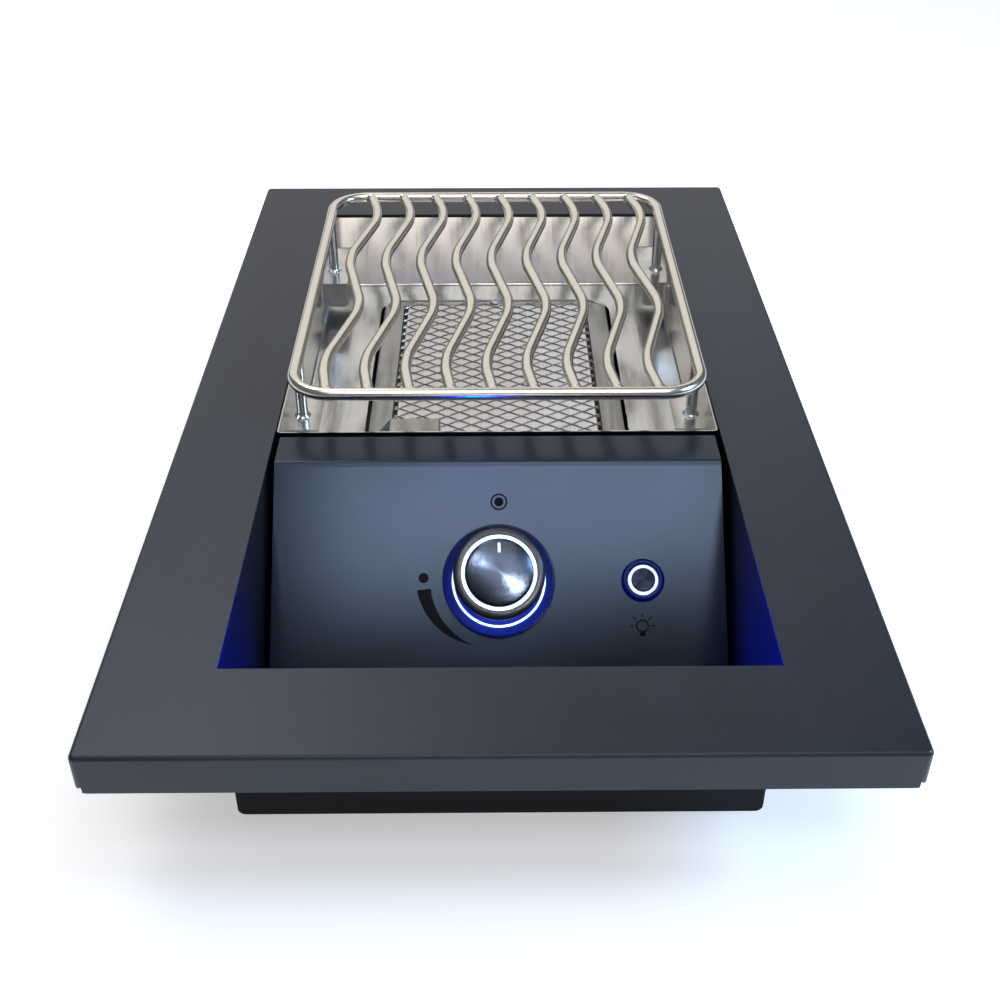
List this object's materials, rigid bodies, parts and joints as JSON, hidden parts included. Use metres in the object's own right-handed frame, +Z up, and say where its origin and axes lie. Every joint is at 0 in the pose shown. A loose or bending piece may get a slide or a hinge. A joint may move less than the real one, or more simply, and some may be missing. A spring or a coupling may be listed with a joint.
{
  "type": "built-in side burner",
  "caption": "Gas side burner that drops into a counter: black trim frame, sloping control panel with a lit knob and button, infrared burner in a steel bowl, lift-off grate of waved rods.",
  "frame": {"origin": "middle of the casing's underside, at its lowest face", "axes": "+Z up, +Y from the control panel to the back, +X to the right as the user faces it"},
  "size_m": [0.3364, 0.5716, 0.1125],
  "materials": {
    "frame_coat": "satin black powder coat with a fine texture",
    "panel_coat": "satin blue-black powder coat with a fine texture",
    "casing_coat": "satin black powder coat",
    "polished_steel": "bright stainless steel, fine upright grain",
    "rod_steel": "stainless bar, electropolished, slightly warm",
    "screen_steel": "expanded stainless steel, bright",
    "zinc_steel": "zinc-plated steel, satin",
    "ceramic": "unglazed perforated burner ceramic, matte",
    "glazed_ceramic": "glazed white ceramic",
    "brass": "machined brass",
    "knob_black": "gloss black",
    "knob_cap": "polished black, slightly domed",
    "lit_ring": "clear light guide, lit white with a blue edge",
    "button_steel": "black-plated steel, turned",
    "black_plastic": "moulded black",
    "silicone": "silicone lead, matte"
  },
  "bodies": {
    "side_burner": {"bezel_light_ring": "lit_ring", "bracket_back_left": "polished_steel", "bracket_back_right": "polished_steel", "bracket_front_left": "polished_steel", "bracket_front_right": "polished_steel", "burner_bowl": "polished_steel", "burner_housing": "polished_steel", "burner_screen": "screen_steel", "burner_screw": "zinc_steel", "burner_support_back": "zinc_steel", "burner_support_front": "zinc_steel", "button_housing": "button_steel", "button_light_ring": "lit_ring", "button_nut": "zinc_steel", "casing": "casing_coat", "casing_back": "casing_coat", "casing_front": "casing_coat", "ceramic_tile_back": "ceramic", "ceramic_tile_front": "ceramic", "control_panel": "panel_coat", "electrode_hood": "polished_steel", "electrode_insulator": "glazed_ceramic", "electrode_rod": "zinc_steel", "gas_orifice": "brass", "gas_pipe": "zinc_steel", "grate_posts": "polished_steel", "heat_shield": "zinc_steel", "ignition_lead": "silicone", "inlet_fitting": "brass", "inlet_nut": "brass", "knob_bezel": "knob_black", "light_driver": "black_plastic", "mixing_tube": "zinc_steel", "panel_screws": "zinc_steel", "power_socket": "black_plastic", "spark_module": "black_plastic", "trim_frame": "frame_coat", "valve_body": "brass", "valve_cap": "brass"},
    "valve_plug": {"valve_plug": "brass"},
    "knob": {"valve_stem": "zinc_steel", "knob": "knob_black", "knob_light_guide": "lit_ring", "knob_face": "knob_cap"},
    "button_cap": {"button_cap": "button_steel"},
    "grate": {"grate_frame": "rod_steel", "grate_rods": "rod_steel"}
  },
  "joints": [
    {"name": "valve_turn", "type": "hinge", "parent": "side_burner", "child": "valve_plug", "pos_m": [0, -0.12119, 0.04231], "axis": [0, -0.7071, 0.7071], "range_deg": [0, 180]},
    {"name": "knob_push", "type": "slide", "parent": "valve_plug", "child": "knob", "axis": [0, 0.7071, -0.7071], "range_m": [0, 0.0035], "stiffness_N_per_m": 1500, "springref_m": -0.003},
    {"name": "button_press", "type": "slide", "parent": "side_burner", "child": "button_cap", "axis": [0, 0.7071, -0.7071], "range_m": [0, 0.0015], "stiffness_N_per_m": 800, "springref_m": -0.002},
    {"name": "grate_lift", "type": "slide", "parent": "side_burner", "child": "grate", "axis": [0, 0, 1], "range_m": [0, 0.06]}
  ]
}
